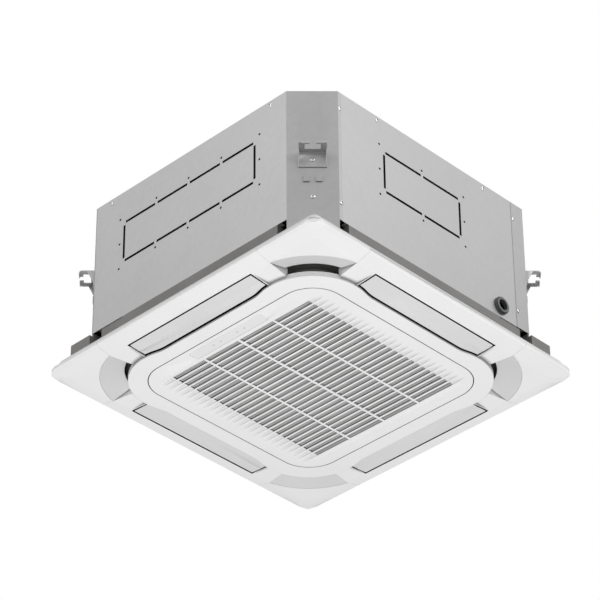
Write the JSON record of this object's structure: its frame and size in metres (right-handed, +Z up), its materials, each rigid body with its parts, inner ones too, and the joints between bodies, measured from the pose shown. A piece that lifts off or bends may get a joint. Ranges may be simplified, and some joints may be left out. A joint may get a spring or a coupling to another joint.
{
  "type": "ceiling cassette air conditioner",
  "caption": "Ceiling cassette air conditioner: square panel with swinging louvers and a drop-down intake grille, below a chamfered steel casing hung by corner brackets.",
  "frame": {"origin": "middle of the panel in the plane of the ceiling's underside, where the gasket seats", "axes": "+Z up into the ceiling; the intake door is hinged on the -X side and the pipes leave the +X +Y corner; -Y is the side with the cable grommet"},
  "size_m": [0.95, 0.95, 0.517],
  "materials": {
    "galvanised_sheet": "satin",
    "corner_sheet": "satin",
    "hanger_steel": "satin",
    "zinc_steel": "satin",
    "black_rubber": "matt",
    "liner_foam": "matt",
    "pan_foam": "matt",
    "gasket_foam": "matt",
    "bell_plastic": "satin",
    "motor_can": "satin",
    "fan_plastic": "satin",
    "fin_aluminium": "satin",
    "copper": "satin",
    "drain_plastic": "satin",
    "box_steel": "satin",
    "circuit_board": "satin",
    "panel_white": "satin",
    "louver_grey": "satin",
    "drive_black": "satin",
    "acetal_white": "satin",
    "filter_net": "matt",
    "window_plastic": "gloss"
  },
  "bodies": {
    "casing": {"top_plate": "galvanised_sheet", "side_plate_west": "galvanised_sheet", "side_plate_south": "galvanised_sheet", "side_plate_east": "galvanised_sheet", "side_plate_north": "galvanised_sheet", "corner_plate_sw": "corner_sheet", "corner_plate_se": "corner_sheet", "corner_plate_ne": "corner_sheet", "corner_plate_nw": "corner_sheet", "hanger_sw": "hanger_steel", "hanger_se": "hanger_steel", "hanger_ne": "hanger_steel", "hanger_nw": "hanger_steel", "casing_screws": "zinc_steel", "hanger_screws": "zinc_steel", "cable_grommet": "black_rubber", "foam_liner": "liner_foam", "drain_pan": "pan_foam", "bell_mouth": "bell_plastic", "fan_motor": "motor_can", "motor_mounts": "black_rubber", "coil_fins": "fin_aluminium", "coil_tubes": "copper", "coil_end_plates": "zinc_steel", "gas_pipe": "copper", "liquid_pipe": "copper", "drain_socket": "drain_plastic", "drain_pump": "drain_plastic", "control_box": "box_steel", "control_box_cover": "box_steel", "terminal_block": "circuit_board", "panel_frame": "panel_white", "ceiling_gasket": "gasket_foam", "corner_cover_sw": "panel_white", "corner_cover_se": "panel_white", "corner_cover_ne": "panel_white", "corner_cover_nw": "panel_white", "panel_bolts": "zinc_steel", "louver_motors": "drive_black", "louver_bushes": "acetal_white", "latch_bodies": "acetal_white"},
    "fan_rotor": {"motor_shaft": "zinc_steel", "turbo_fan": "fan_plastic", "fan_nut": "zinc_steel"},
    "west_louver": {"louver_west": "louver_grey"},
    "south_louver": {"louver_south": "louver_grey"},
    "east_louver": {"louver_east": "louver_grey"},
    "north_louver": {"louver_north": "louver_grey"},
    "intake_door": {"grille_door": "panel_white", "grille_hinge_pins": "zinc_steel", "air_filter": "filter_net", "receiver_window": "window_plastic", "receiver_board": "circuit_board"},
    "south_latch": {"latch_plunger_south": "drive_black"},
    "north_latch": {"latch_plunger_north": "drive_black"},
    "drain_float": {"pump_float": "drain_plastic"}
  },
  "joints": [
    {"name": "fan_spin", "type": "hinge", "parent": "casing", "child": "fan_rotor", "pos_m": [0, 0, 0.35], "axis": [0, 0, 1], "continuous": true},
    {"name": "louver_tilt_west", "type": "hinge", "parent": "casing", "child": "west_louver", "pos_m": [-0.39, 0, -0.012], "axis": [0, -1, 0], "range_deg": [0, 60]},
    {"name": "louver_tilt_south", "type": "hinge", "parent": "casing", "child": "south_louver", "pos_m": [0, -0.39, -0.012], "axis": [1, 0, 0], "range_deg": [0, 60]},
    {"name": "louver_tilt_east", "type": "hinge", "parent": "casing", "child": "east_louver", "pos_m": [0.39, 0, -0.012], "axis": [0, 1, 0], "range_deg": [0, 60]},
    {"name": "louver_tilt_north", "type": "hinge", "parent": "casing", "child": "north_louver", "pos_m": [0, 0.39, -0.012], "axis": [-1, 0, 0], "range_deg": [0, 60]},
    {"name": "grille_swing", "type": "hinge", "parent": "casing", "child": "intake_door", "pos_m": [-0.311, 0, -0.03], "axis": [0, 1, 0], "range_deg": [0, 45]},
    {"name": "latch_push_south", "type": "slide", "parent": "casing", "child": "south_latch", "axis": [0, 0, 1], "range_m": [0, 0.003], "stiffness_N_per_m": 500, "springref_m": -0.004},
    {"name": "latch_push_north", "type": "slide", "parent": "casing", "child": "north_latch", "axis": [0, 0, 1], "range_m": [0, 0.003], "stiffness_N_per_m": 500, "springref_m": -0.004},
    {"name": "float_rise", "type": "slide", "parent": "casing", "child": "drain_float", "axis": [0, 0, 1], "range_m": [0, 0.01]}
  ]
}
